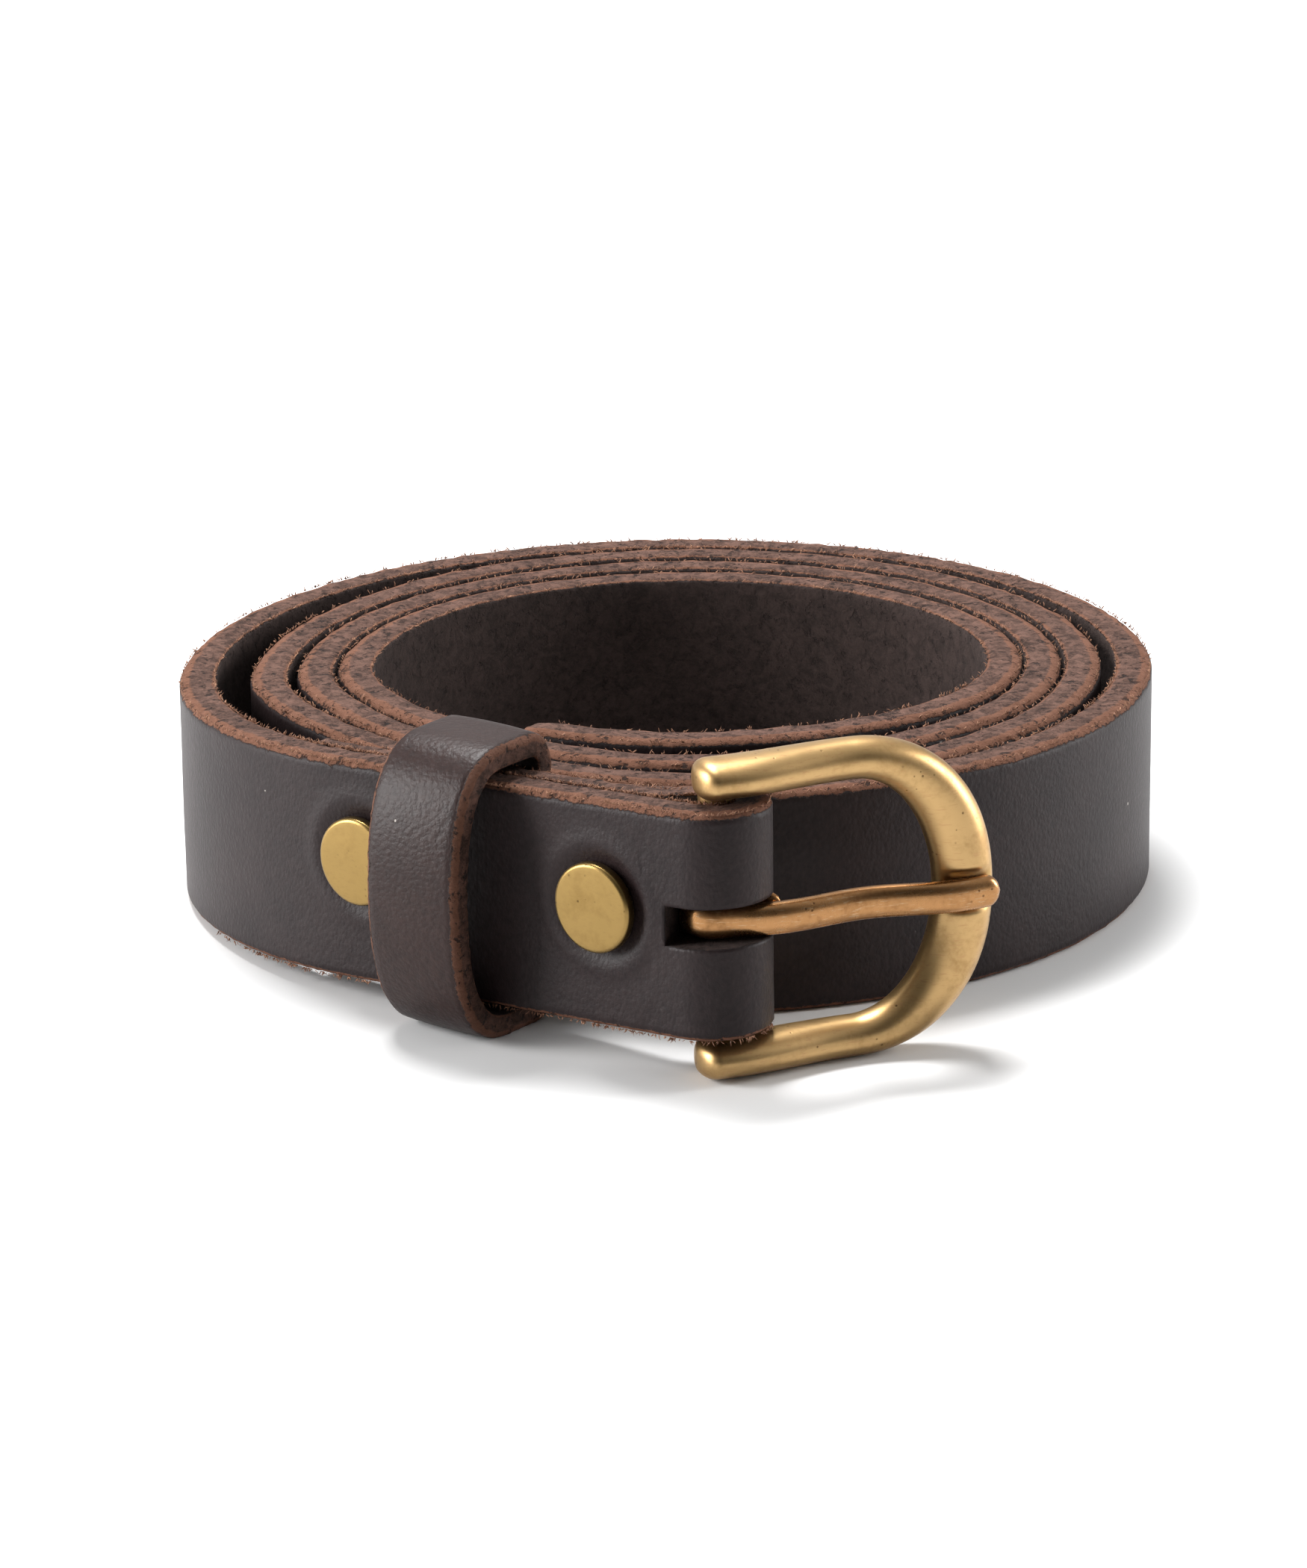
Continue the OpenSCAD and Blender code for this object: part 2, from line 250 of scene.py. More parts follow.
def flesh_for(a):
    """The flesh point that faces grain length a; the slot's end walls slope."""
    side = 0 if a > 0 else 1
    wall = HALF_FOLD + SLOT_END
    reach = BORE_R * math.pi / 2
    if abs(a) <= wall:
        return flesh_fold(a * (reach + SLOT_END_FLESH[side]) / wall)
    s = abs(a) - HALF_FOLD
    skew = (SLOT_END_FLESH[side] - SLOT_END) * max(0.0, 1 - (s - SLOT_END) / SKEW_LEN) ** 2
    return flesh_fold(math.copysign(reach + s + skew, a))


def smoothed(line, reach):
    """The line with its small corners eased, ends kept."""
    padded = np.concatenate([np.repeat(line[:1], reach, 0), line, np.repeat(line[-1:], reach, 0)])
    weights = np.hanning(2 * reach + 3)[1:-1]
    weights /= weights.sum()
    out = np.stack([np.convolve(padded[:, i], weights, "valid") for i in range(2)], 1)
    keep = np.clip(np.minimum(np.arange(len(line)), np.arange(len(line))[::-1]) / reach, 0, 1)
    return line * (1 - keep[:, None]) + out * keep[:, None]


def strap_stations():
    """Grain point, flesh point and length along the strap, from the turned-back end to the tip."""
    stations = []
    a = -(HALF_FOLD + TURNBACK_LEN)
    marks = [-(HALF_FOLD + SLOT_END), HALF_FOLD + SLOT_END]
    stops = [a]
    while a < HALF_FOLD + LEAD_TOTAL - 0.3:
        step = 0.5 if -HALF_FOLD - 18 < a < HALF_FOLD + 60 else 0.9
        a += step
        stops.append(a)
    for mark in marks:
        nearest = min(range(len(stops)), key=lambda i: abs(stops[i] - mark))
        stops[nearest] = mark
    for a in stops:
        stations.append((grain_fold(a), flesh_for(a), a))
    dense = [quarter_point(q, i * 1.0) for q in range(LAST_QUARTER) for i in range(90)]
    dense += [quarter_point(LAST_QUARTER, i * 1.0) for i in range(int(TAIL_ANGLE) + 1)]
    dense = smoothed(np.array(dense), 5)
    gaps = np.linalg.norm(np.diff(dense, axis=0), axis=1)
    lengths = np.concatenate([[0], np.cumsum(gaps)])
    start = stops[-1]
    want = [1.0]
    while want[-1] < lengths[-1] - 1.0:
        want.append(want[-1] + (1.15 if want[-1] < 360 else 2.0))
    want[-1] = lengths[-1]
    grain = np.stack([np.interp(want, lengths, dense[:, i]) for i in range(2)], 1)
    way = np.gradient(grain, axis=0)
    way /= np.linalg.norm(way, axis=1)[:, None]
    flesh = grain + STRAP_T * np.stack([way[:, 1], -way[:, 0]], 1)
    for g, f, length in zip(grain, flesh, want):
        stations.append((g, f, start + length))
    return stations


# ---- shader groups
def group(name, *outputs):
    """A shader group that turns a position into numbers with these names."""
    tree = bpy.data.node_groups.new(name, "ShaderNodeTree")
    tree.interface.new_socket("Vector", in_out="INPUT", socket_type="NodeSocketVector")
    for output in outputs:
        tree.interface.new_socket(output, in_out="OUTPUT", socket_type="NodeSocketFloat")
    return tree, tree.nodes.new("NodeGroupInput").outputs["Vector"], tree.nodes.new("NodeGroupOutput").inputs


def feed(tree, sockets, *values):
    """Links the values to the sockets, in order."""
    for socket, value in zip(sockets, values):
        tree.links.new(value, socket)


def math_node(tree, operation, a, b=None, c=None):
    node = tree.nodes.new("ShaderNodeMath")
    node.operation = operation
    for socket, value in zip(node.inputs, (a, b, c)):
        if value is None:
            continue
        if isinstance(value, (int, float)):
            socket.default_value = value
        else:
            tree.links.new(value, socket)
    return node.outputs[0]


def noise_node(tree, vector, scale, detail=3.0, roughness=0.55, distortion=0.0):
    node = tree.nodes.new("ShaderNodeTexNoise")
    node.inputs["Scale"].default_value = scale
    node.inputs["Detail"].default_value = detail
    node.inputs["Roughness"].default_value = roughness
    node.inputs["Distortion"].default_value = distortion
    tree.links.new(vector, node.inputs["Vector"])
    return node.outputs["Fac"]


def cells_node(tree, vector, scale, feature="F1"):
    node = tree.nodes.new("ShaderNodeTexVoronoi")
    node.feature = feature
    node.inputs["Scale"].default_value = scale
    tree.links.new(vector, node.inputs["Vector"])
    return node.outputs["Distance"]


def spread(tree, value, low, high, to_low=0.0, to_high=1.0):
    node = tree.nodes.new("ShaderNodeMapRange")
    node.interpolation_type = "SMOOTHSTEP"
    tree.links.new(value, node.inputs["Value"])
    for socket, number in zip(("From Min", "From Max", "To Min", "To Max"), (low, high, to_low, to_high)):
        node.inputs[socket].default_value = number
    return node.outputs["Result"]


def mixed(tree, factor, a, b, blend="MIX"):
    node = tree.nodes.new("ShaderNodeMix")
    node.data_type = "RGBA"
    node.blend_type = blend
    if isinstance(factor, (int, float)):
        node.inputs["Factor"].default_value = factor
    else:
        tree.links.new(factor, node.inputs["Factor"])
    for socket, value in ((node.inputs[6], a), (node.inputs[7], b)):
        if isinstance(value, tuple):
            socket.default_value = (*value, 1.0)
        else:
            tree.links.new(value, socket)
    return node.outputs[2]


def stretched(tree, vector, scale):
    node = tree.nodes.new("ShaderNodeMapping")
    node.inputs["Scale"].default_value = scale
    tree.links.new(vector, node.inputs["Vector"])
    return node.outputs["Vector"]


def grain_group():
    """Bridle leather's face: small pebbles, fine wrinkles across the strap, and specks."""
    tree, at, end = group("leather grain", "Height", "Tone", "Specks")
    across = stretched(tree, at, (1.0, 0.3, 1.0))
    wrinkles = noise_node(tree, stretched(tree, at, (1.0, 0.7, 1.0)), 1500.0, 4.0, 0.6, 0.4)
    pebbles = cells_node(tree, stretched(tree, at, (1.0, 0.75, 1.0)), 2300.0)
    fine = noise_node(tree, at, 5200.0, 3.0)
    broad = noise_node(tree, at, 90.0, 3.0)
    creases = spread(tree, noise_node(tree, across, 330.0, 3.0, 0.5, 1.2), 0.42, 0.52)
    height = math_node(tree, "MULTIPLY_ADD", wrinkles, 0.5, math_node(tree, "MULTIPLY", fine, 0.3))
    height = math_node(tree, "MULTIPLY_ADD", pebbles, -0.4, height)
    height = math_node(tree, "MULTIPLY_ADD", creases, 0.03, height)
    tone = math_node(tree, "MULTIPLY_ADD", wrinkles, 0.5, math_node(tree, "MULTIPLY", broad, 0.5))
    specks = spread(tree, cells_node(tree, at, 240.0), 0.05, 0.035)
    keep = spread(tree, noise_node(tree, at, 260.0, 1.0), 0.55, 0.6)
    feed(tree, end, height, tone, math_node(tree, "MULTIPLY", specks, keep))
    return tree


def fibre_group():
    """Raw leather: short fibres, pits and a mottled tone, for cut edges and the flesh side."""
    tree, at, end = group("leather fibres", "Height", "Tone", "Pits")
    fibres = noise_node(tree, stretched(tree, at, (1.0, 0.8, 1.3)), 2300.0, 5.0, 0.72, 1.0)
    clumps = noise_node(tree, at, 700.0, 4.0, 0.65, 0.8)
    mottle = noise_node(tree, at, 260.0, 3.0)
    pits = spread(tree, noise_node(tree, at, 900.0, 4.0, 0.7), 0.43, 0.34)
    height = math_node(tree, "MULTIPLY_ADD", fibres, 0.6, clumps)
    height = math_node(tree, "MULTIPLY_ADD", pits, -0.8, height)
    tone = math_node(tree, "MULTIPLY_ADD", fibres, 0.4, math_node(tree, "MULTIPLY", clumps, 0.6))
    tone = math_node(tree, "MULTIPLY_ADD", math_node(tree, "SUBTRACT", mottle, 0.5), 0.22, tone)
    feed(tree, end, height, tone, pits)
    return tree


def patina_group():
    """Old cast metal: cloudy tarnish, fine brush lines, pits and handling scratches."""
    tree, at, end = group("metal patina", "Tarnish", "Pits", "Height", "Scuffs")
    clouds = noise_node(tree, at, 190.0, 5.0, 0.6, 0.8)
    fine = noise_node(tree, at, 1500.0, 4.0, 0.6)
    pits = spread(tree, cells_node(tree, at, 900.0), 0.16, 0.08)
    where = spread(tree, noise_node(tree, at, 330.0, 2.0), 0.5, 0.62)
    pits = math_node(tree, "MULTIPLY", pits, where)
    lines = noise_node(tree, stretched(tree, at, (0.25, 1.0, 3.0)), 1800.0, 3.0, 0.6)
    tarnish = math_node(tree, "MULTIPLY_ADD", fine, 0.35, math_node(tree, "MULTIPLY", clouds, 0.65))
    height = math_node(tree, "MULTIPLY_ADD", lines, 0.25, math_node(tree, "MULTIPLY", fine, 0.4))
    height = math_node(tree, "MULTIPLY_ADD", pits, -1.0, height)
    feed(tree, end, tarnish, pits, height, lines)
    return tree


GRAIN = grain_group()
FIBRES = fibre_group()
PATINA = patina_group()


def new_material(name):
    """A material with its node tree and main shader."""
    material = bpy.data.materials.new(name)
    material.use_nodes = True
    tree = material.node_tree
    shader = tree.nodes["Principled BSDF"]
    return material, tree, shader


def place(tree, inner, vector):
    """Puts a shader group in the tree, fed with this position."""
    node = tree.nodes.new("ShaderNodeGroup")
    node.node_tree = inner
    tree.links.new(vector, node.inputs["Vector"])
    return node.outputs


def bump(tree, shader, height, depth_mm, strength=1.0):
    node = tree.nodes.new("ShaderNodeBump")
    node.inputs["Strength"].default_value = strength
    node.inputs["Distance"].default_value = depth_mm * MM
    tree.links.new(height, node.inputs["Height"])
    tree.links.new(node.outputs["Normal"], shader.inputs["Normal"])


def attribute(tree, name):
    """The value of one of the mesh masks."""
    node = tree.nodes.new("ShaderNodeAttribute")
    node.attribute_name = name
    return node.outputs["Fac"]


def leather_material(name, face_dark, face_light, edge_dark, edge_light, rim_colour, flesh_dark, flesh_light,
                     face_rough):
    """Waxed grain, raw cut edge and flesh side in one, by the masks edge, rim and flesh."""
    material, tree, shader = new_material(name)
    surface = tree.nodes.new("ShaderNodeUVMap")
    surface.uv_map = "surface"
    place_at = tree.nodes.new("ShaderNodeTexCoord").outputs["Object"]
    grain = place(tree, GRAIN, surface.outputs["UV"])
    fibres = place(tree, FIBRES, place_at)
    edge, rim, flesh = (attribute(tree, mask) for mask in ("edge", "rim", "flesh"))
    ragged = math_node(tree, "MULTIPLY", math_node(tree, "SUBTRACT", fibres["Tone"], 0.5), 1.7)
    edge_mask = spread(tree, math_node(tree, "ADD", edge, ragged), 0.4, 0.6)
    rim_mask = spread(tree, math_node(tree, "ADD", rim, ragged), 0.35, 0.65)
    flesh_mask = spread(tree, flesh, 0.4, 0.6)
    face = mixed(tree, spread(tree, grain["Tone"], 0.3, 0.7), face_dark, face_light)
    face = mixed(tree, math_node(tree, "MULTIPLY", grain["Specks"], 0.6), face, (0.55, 0.5, 0.45))
    cut = mixed(tree, spread(tree, fibres["Tone"], 0.35, 0.65), edge_dark, edge_light)
    cut = mixed(tree, math_node(tree, "MULTIPLY", rim_mask, 0.6), cut, rim_colour)
    # near-black colour in the pits of the cut edge: painted shade in the pits, over the pits' real bump
    cut = mixed(tree, math_node(tree, "MULTIPLY", fibres["Pits"], 0.85), cut, (0.012, 0.008, 0.007))
    back = mixed(tree, spread(tree, fibres["Tone"], 0.3, 0.7), flesh_dark, flesh_light)
    colour = mixed(tree, edge_mask, face, cut)
    colour = mixed(tree, flesh_mask, colour, back)
    tree.links.new(colour, shader.inputs["Base Color"])
    raw = math_node(tree, "MAXIMUM", edge_mask, flesh_mask)
    smooth = spread(tree, grain["Height"], 0.2, 0.9, face_rough + 0.08, face_rough - 0.06)
    tree.links.new(math_node(tree, "MULTIPLY_ADD", raw, 0.4, smooth), shader.inputs["Roughness"])
    raw_height = math_node(tree, "MULTIPLY", fibres["Height"], math_node(tree, "MULTIPLY", raw, 3.2))
    face_height = math_node(tree, "MULTIPLY", grain["Height"], math_node(tree, "SUBTRACT", 1.0, raw))
    bump(tree, shader, math_node(tree, "ADD", raw_height, face_height), 0.09)
    shader.inputs["Specular IOR Level"].default_value = 0.17
    return material


def metal_material(name, clean, tarnished, hollow, copper, rough_low, rough_high, depth_mm, tarnish_from):
    """Brass with patina; the worn mask shows the clean metal, and some copper where it is given."""
    material, tree, shader = new_material(name)
    at = tree.nodes.new("ShaderNodeTexCoord").outputs["Object"]
    patina = place(tree, PATINA, at)
    old = spread(tree, patina["Tarnish"], tarnish_from, tarnish_from + 0.22)
    corners = tree.nodes.new("ShaderNodeNewGeometry").outputs["Pointiness"]
    colour = mixed(tree, old, clean, tarnished)
    colour = mixed(tree, spread(tree, patina["Scuffs"], 0.56, 0.68), colour, copper)
    colour = mixed(tree, spread(tree, corners, 0.49, 0.44), colour, hollow)
    colour = mixed(tree, math_node(tree, "MULTIPLY", patina["Pits"], 0.7), colour, hollow)
    tree.links.new(colour, shader.inputs["Base Color"])
    gloss = spread(tree, patina["Tarnish"], 0.3, 0.7, rough_low, rough_high)
    tree.links.new(gloss, shader.inputs["Roughness"])
    bump(tree, shader, patina["Height"], depth_mm)
    shader.inputs["Metallic"].default_value = 1.0
    return material


bridle = leather_material(
    "bridle leather", (0.0100, 0.0058, 0.0062), (0.0195, 0.0120, 0.0120),
    (0.028, 0.0140, 0.010), (0.125, 0.067, 0.050), (0.165, 0.069, 0.038),
    (0.019, 0.0125, 0.011), (0.044, 0.029, 0.0255), 0.40)
keeper_leather = leather_material(
    "keeper leather", (0.0115, 0.0050, 0.0044), (0.024, 0.0115, 0.0098),
    (0.020, 0.0095, 0.0065), (0.085, 0.042, 0.030), (0.12, 0.050, 0.028),
    (0.008, 0.005, 0.0045), (0.024, 0.015, 0.013), 0.33)
antique_brass = metal_material(
    "antique brass", (0.44, 0.285, 0.125), (0.33, 0.205, 0.085),
    (0.05, 0.024, 0.010), (0.39, 0.235, 0.105), 0.33, 0.42, 0.010, 0.46)
copper_brass = metal_material(
    "copper brass", (0.34, 0.175, 0.072), (0.215, 0.105, 0.041),
    (0.05, 0.022, 0.010), (0.38, 0.235, 0.125), 0.24, 0.34, 0.008, 0.47)
post_brass = metal_material(
    "post brass", (0.245, 0.160, 0.056), (0.205, 0.130, 0.044), (0.05, 0.028, 0.011),
    (0.225, 0.145, 0.052), 0.28, 0.36, 0.006, 0.48)
staple_steel = metal_material(
    "staple steel", (0.6, 0.6, 0.6), (0.4, 0.39, 0.38), (0.1, 0.1, 0.1),
    (0.55, 0.54, 0.52), 0.3, 0.45, 0.01, 0.5)


# ---- strap
RIM_ROWS = [(0.0, 0.75), (0.08, 0.30), (0.2, 0.06), (0.32, 0.0)]
EDGE_FLAT = [(0.48, 0.0), (0.64, 0.0), (0.80, 0.02), (0.93, 0.14)]
GRAIN_ROWS = 42
FLESH_APART = 30.0   # moves the flesh side away from the grain side on the surface map
FLESH_ROWS = 15
SLOT_LOW, SLOT_HIGH = 10.3, 14.7


def ring_rows(width, grain_rows, flesh_rows, slot=None):
    """(share of the thickness, height across the width, edge, rim, flesh) round the section."""
    heights = list(np.linspace(RIM_ROWS[0][1], width - RIM_ROWS[0][1], grain_rows))
    backs = list(np.linspace(width - 0.4, 0.4, flesh_rows))
    if slot:
        for rows in (heights, backs):
            for mark in slot:
                i = min(range(len(rows)), key=lambda k: abs(rows[k] - mark))
                rows[i] = mark
    ring = [(0.0, h, 0.0, 0.0, 0.0) for h in heights]
    ring[0] = (0.0, heights[0], 0.3, 0.4, 0.0)
    ring[-1] = (0.0, heights[-1], 0.3, 0.4, 0.0)
    edge = [(f, d, 1.0, 1.0) for f, d in RIM_ROWS[1:3]] + [(RIM_ROWS[3][0], RIM_ROWS[3][1], 1.0, 0.4)]
    edge += [(f, d, 1.0, 0.0) for f, d in EDGE_FLAT[:-1]] + [(EDGE_FLAT[-1][0], EDGE_FLAT[-1][1], 1.0, 0.7)]
    ring += [(f, width - d, e, r, 0.0) for f, d, e, r in edge]
    ring += [(1.0, h, 0.0, 0.0, 1.0) for h in backs]
    ring += [(f, d, e, r, 0.0) for f, d, e, r in reversed(edge)]
    return ring


POST_AT = (10.8, 43.3)
POST_RISE = (1.0, 1.6)
post_places = []
for s, rise in zip(POST_AT, POST_RISE):
    mid = (heel @ along - s - CLIMB_FROM) * CLIMB_RATE + STRAP_W / 2 + rise
    post_places.append((lead_point(s, 0.0), mid))


MASKS = (("edge", 2), ("rim", 3), ("flesh", 4))


def ring_masks(ring, count):
    """The masks of one section, repeated along the leather."""
    return {name: np.tile([row[i] for row in ring], (count, 1)) for name, i in MASKS}


def zipper(left, left_at, right, right_at):
    """Faces between two rows of vertices, both given from high to low."""
    faces, a, b = [], 0, 0
    while a < len(left) - 1 or b < len(right) - 1:
        next_a = left_at[a + 1] if a < len(left) - 1 else -1e9
        next_b = right_at[b + 1] if b < len(right) - 1 else -1e9
        if next_a >= next_b:
            faces.append((left[a], left[a + 1], right[b]))
            a += 1
        else:
            faces.append((left[a], right[b + 1], right[b]))
            b += 1
    return faces


def end_cap(ring, k):
    """Closes a cut end across the thickness."""
    around = len(ring)
    base = k * around
    grain = [j for j in range(around) if ring[j][0] == 0.0][::-1]
    flesh = [j for j in range(around) if ring[j][0] == 1.0]
    faces = zipper([base + j for j in grain], [ring[j][1] for j in grain],
                   [base + j for j in flesh], [ring[j][1] for j in flesh])
    upper = list(range(grain[0], flesh[0] + 1))
    lower = list(range(flesh[-1], around)) + [grain[-1]]
    faces.append(tuple(base + j for j in upper))
    faces.append(tuple(base + j for j in lower))
    return faces


WALL_ROWS = (0.0, 0.1, 0.9, 1.0)   # shares of the thickness, from grain to flesh


class SlotWalls:
    """The raw walls round the slot, joined to the grain and flesh rows."""

    def __init__(self, ring, k0, k1, verts):
        self.ring, self.k0, self.k1 = ring, k0, k1
        self.around = len(ring)
        self.old = verts
        self.verts, self.faces, self.made = [], [], {}
        self.grain = [j for j in range(self.around) if ring[j][0] == 0.0 and self.within(j)][::-1]
        self.flesh = [j for j in range(self.around) if ring[j][0] == 1.0 and self.within(j)]

    def within(self, j):
        """Whether ring row j lies on or between the slot's two long walls."""
        return SLOT_LOW - 1e-6 < self.ring[j][1] < SLOT_HIGH + 1e-6

    def middle(self, k, j, share):
        """A wall vertex between grain row j and the flesh at the same height."""
        key = (k, j, share)
        if key not in self.made:
            g = self.old[k, j]
            rows = self.flesh[::-1]
            heights = [self.ring[row][1] for row in rows]
            f = np.array([np.interp(self.ring[j][1], heights, self.old[k, rows, i]) for i in range(3)])
            self.made[key] = self.old.shape[0] * self.around + len(self.verts)
            self.verts.append(g + share * (f - g))
        return self.made[key]

    def corner(self, k, row, back, share):
        """A corner of a long wall: on the grain, on the flesh or between them."""
        if share == 0:
            return k * self.around + row
        if share == 1:
            return k * self.around + back
        return self.middle(k, row, share)

    def build(self):
        """The two long walls, then the two end walls."""
        near, far = WALL_ROWS[1:3]
        for row, back in ((self.grain[0], self.flesh[0]), (self.grain[-1], self.flesh[-1])):
            for k in range(self.k0, self.k1):
                for a, b in zip(WALL_ROWS, WALL_ROWS[1:]):
                    ends = ((k, a), (k + 1, a), (k + 1, b), (k, b))
                    self.faces.append([self.corner(end, row, back, share) for end, share in ends])
        for k in (self.k0, self.k1):
            base = k * self.around
            for hi, lo in zip(self.grain, self.grain[1:]):
                self.faces.append((base + hi, base + lo, self.middle(k, lo, near), self.middle(k, hi, near)))
                self.faces.append((self.middle(k, hi, near), self.middle(k, lo, near),
                                   self.middle(k, lo, far), self.middle(k, hi, far)))
            self.faces += zipper([self.middle(k, j, far) for j in self.grain],
                                 [self.ring[j][1] for j in self.grain],
                                 [base + j for j in self.flesh], [self.ring[j][1] for j in self.flesh])


TAIL_POINT = 13.0
TAIL_NARROWS = 10.0
CUT_ROUND = 0.3
CUT_SQUEEZE = 0.985


def build_strap():
    """The whole strap from its turned-back end to the tip, with the slot open."""
    stations = strap_stations()
    way = unit(stations[-1][0] - stations[-2][0])
    back = unit(stations[0][0] - stations[1][0])
    tip_g, tip_f, tip_at = stations[-1]
    end_g, end_f, end_at = stations[0]
    stations.append((tip_g + CUT_ROUND * way, tip_f + CUT_ROUND * way, tip_at + CUT_ROUND))
    stations.insert(0, (end_g + CUT_ROUND * back, end_f + CUT_ROUND * back, end_at - CUT_ROUND))
    ring = ring_rows(STRAP_W, GRAIN_ROWS, FLESH_ROWS, (SLOT_LOW, SLOT_HIGH))
    count, around = len(stations), len(ring)
    total = stations[-1][2]
    share = np.array([r[0] for r in ring])
    height = np.array([r[1] for r in ring])
    verts = np.zeros((count, around, 3))
    uvs = np.zeros((count, around, 2))
    masks = ring_masks(ring, count)
    for name, value in (("edge", 1.0), ("rim", 0.5), ("flesh", 0.0)):
        masks[name][0] = masks[name][-1] = value
    lengths = np.array([st[2] for st in stations])
    for k, (g, f, length) in enumerate(stations):
        narrow = TAIL_NARROWS * max(0.0, 1 - (total - length) / TAIL_POINT)
        squeeze = 1 - narrow / (STRAP_W / 2)
        if k in (0, count - 1):
            squeeze *= CUT_SQUEEZE
        p = g + share[:, None] * (f - g)
        v = STRAP_W / 2 + (height - STRAP_W / 2) * squeeze
        raised = lift_at(p) if length < HALF_FOLD + LEAD_TOTAL else 0.0
        verts[k, :, :2] = p
        verts[k, :, 2] = v + raised
        uvs[k, :, 0] = length * MM
        uvs[k, :, 1] = (height + share * FLESH_APART) * MM
    work_leather(verts, lengths, share, height)
    verts[:, :, 2] = np.maximum(verts[:, :, 2], 0.0)
    slot_k = np.flatnonzero(np.abs(lengths) <= HALF_FOLD + SLOT_END + 1e-6)
    k0, k1 = int(slot_k[0]), int(slot_k[-1])
    walls = SlotWalls(ring, k0, k1, verts)
    walls.build()
    in_slot = {j for rows in (walls.grain, walls.flesh) for j in range(min(rows), max(rows))}
    faces = [quad(around, k, j) for k in range(count - 1) for j in range(around)
             if not (k0 <= k < k1 and j in in_slot)]
    faces += end_cap(ring, 0) + end_cap(ring, count - 1) + walls.faces
    extra = len(walls.verts)
    # the slot walls' middle vertices carry the flesh mask, so the walls inside the slot show the dark flesh
    # colour instead of the cut-edge colour: painted shade in the slot
    flat = {name: np.concatenate([values.ravel(), np.full(extra, 1.0 if name == "flesh" else 0.9)])
            for name, values in masks.items()}
    all_verts = np.concatenate([verts.reshape(-1, 3), np.array(walls.verts)])
    all_uvs = np.concatenate([uvs.reshape(-1, 2), np.zeros((extra, 2))])
    return make_piece("strap_leather", all_verts, faces, "strap", ["strap"], bridle,
                      all_uvs, flat)


TOP_RAGGED, BOTTOM_RAGGED = 0.17, 0.06    # height of the cut edges' roughness
RUBBED_BY_LEGS = 12.0                     # length beyond the fold where the buckle's legs rub
RUBBED_SHARE = 0.25
BORE_SMOOTH = 5.0                         # length beyond the fold where the heel bar turns
SEAT_DEPTH, SEAT_R = 0.42, 5.7            # pressed hollow under each fastener's head
LIP_HEIGHT, LIP_R = 0.20, 6.9             # and the lip round it
CREASE_AT, CREASE_DEPTH = 4.6, 0.10
POST_REACH = 75.0                         # no fastener's seat lies further from the fold


def work_leather(verts, lengths, share, height):
    """Small real shape: pressed seats at the fasteners, creases, soft waves and rough cut edges."""
    grain_side = share == 0.0
    cut = (share > 0) & (share < 1)
    normals = np.gradient(verts[:, 0, :2], axis=0)
    normals /= np.linalg.norm(normals, axis=1)[:, None]
    outwards = np.stack([-normals[:, 1], normals[:, 0]], 1)   # from the flesh to the grain
    for k in range(len(lengths)):
        a = lengths[k]
        near = abs(a) < HALF_FOLD + POST_REACH
        out = outwards[k]
        push = np.zeros(len(share))
        for j in range(len(share)):
            x, y, z = verts[k, j]
            if cut[j]:
                ragged = TOP_RAGGED if height[j] > STRAP_W / 2 else BOTTOM_RAGGED
                worn = RUBBED_SHARE if abs(a) < HALF_FOLD + RUBBED_BY_LEGS else 1.0
                lumps = ragged * rough((x, y, z), 1.4, 3.1) + 0.07 * rough((x, y, z), 0.5, 8.7)
                verts[k, j, 2] += worn * lumps
                push[j] = 0.13 * rough((x, y, z), 1.1, 5.5)
            elif grain_side[j]:
                point = (a, height[j] * 0.8, 0.0)
                push[j] = 0.018 * rough(point, 1.2, 1.3) + 0.06 * rough(point, 11.0, 2.2)
            else:
                bore = 0.0 if abs(a) < HALF_FOLD + BORE_SMOOTH else 1.0
                push[j] = 0.06 * bore * rough((x, y, z), 0.8, 6.3)
        if near and a > 0:
            for (_, mid), s in zip(post_places, POST_AT):
                r = np.hypot(a - HALF_FOLD - s, verts[k, :, 2] - mid)
                seat = -SEAT_DEPTH * np.exp(-(r / SEAT_R) ** 10) + LIP_HEIGHT * np.exp(-(r - LIP_R) ** 2)
                push += np.where(grain_side, seat, 0.0)
            crease = CREASE_DEPTH * math.exp(-((a - HALF_FOLD - CREASE_AT) / 1.6) ** 2)
            if crease > 0.004:
                for j in np.flatnonzero(grain_side):
                    push[j] += crease * (rough((a * 1.0, height[j] * 0.25, 0), 0.8, 7.7) - 0.3)
        verts[k, :, :2] += push[:, None] * out


HOLE_D = 4.0
HOLE_ANGLES = (85, 55.5, 23)
HOLE_QUARTER = 14
PUNCH_SPARE = 1.6


